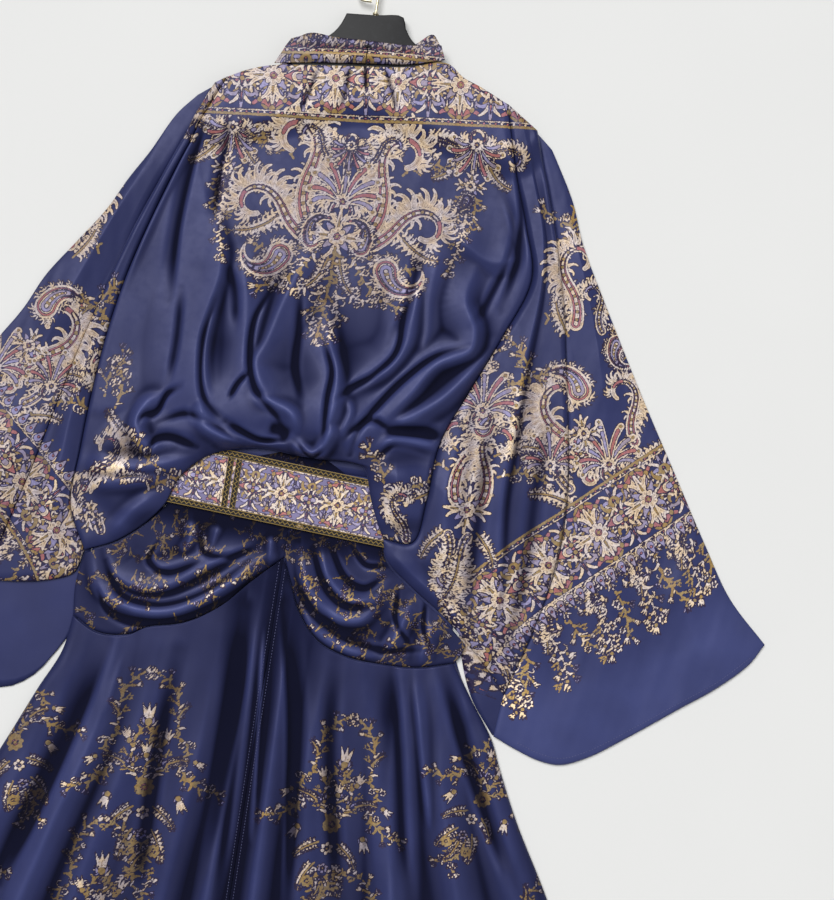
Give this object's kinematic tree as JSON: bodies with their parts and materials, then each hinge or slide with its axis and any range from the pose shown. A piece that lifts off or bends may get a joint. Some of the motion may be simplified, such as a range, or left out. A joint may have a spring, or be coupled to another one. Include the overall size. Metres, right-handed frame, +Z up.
{
  "type": "batwing sleeve dress on a hanger",
  "caption": "Long satin dress with wide batwing sleeves, stand collar, belt and swagged hip yoke, laid flat on its front with its hanger in the neck.",
  "frame": {"origin": "on the surface the dress lies on, under the middle of the belt", "axes": "+Z up from the surface, +Y from the belt to the neck along the centre back, +X to the right sleeve as the back is seen"},
  "size_m": [1.1346, 1.4798, 0.0335],
  "materials": {
    "printed_satin": "dark navy silk satin with a printed border of paisley, scrolls and small flowers in cream, rose, violet and ochre",
    "plain_satin": "plain dark navy silk satin",
    "belt_satin": "interfaced printed satin band in navy, violet, rose and cream",
    "gold_braid": "woven braid in dull gold and black, zigzag edge",
    "moulded_plastic": "black moulded plastic, satin",
    "plated_wire": "gold plated steel wire, bright",
    "hook_wire": "black lacquered hook"
  },
  "bodies": {
    "root": {"bodice_back": "printed_satin", "bodice_front": "plain_satin", "sleeve_left_back": "printed_satin", "sleeve_left_drape": "printed_satin", "sleeve_left_front": "printed_satin", "sleeve_right_back": "printed_satin", "sleeve_right_drape": "printed_satin", "sleeve_right_front": "printed_satin", "collar_back_left": "printed_satin", "collar_back_right": "printed_satin", "collar_front": "printed_satin", "neck_hook": "hook_wire", "hip_yoke_left": "printed_satin", "hip_yoke_right": "printed_satin", "skirt_back_left": "printed_satin", "skirt_back_right": "printed_satin", "skirt_front": "plain_satin", "belt_back": "belt_satin", "belt_front": "belt_satin", "braid_lower": "gold_braid", "braid_upper": "gold_braid", "braid_upright_1": "gold_braid", "braid_upright_2": "gold_braid", "hanger": "moulded_plastic", "hanger_hook": "plated_wire"}
  },
  "joints": []
}
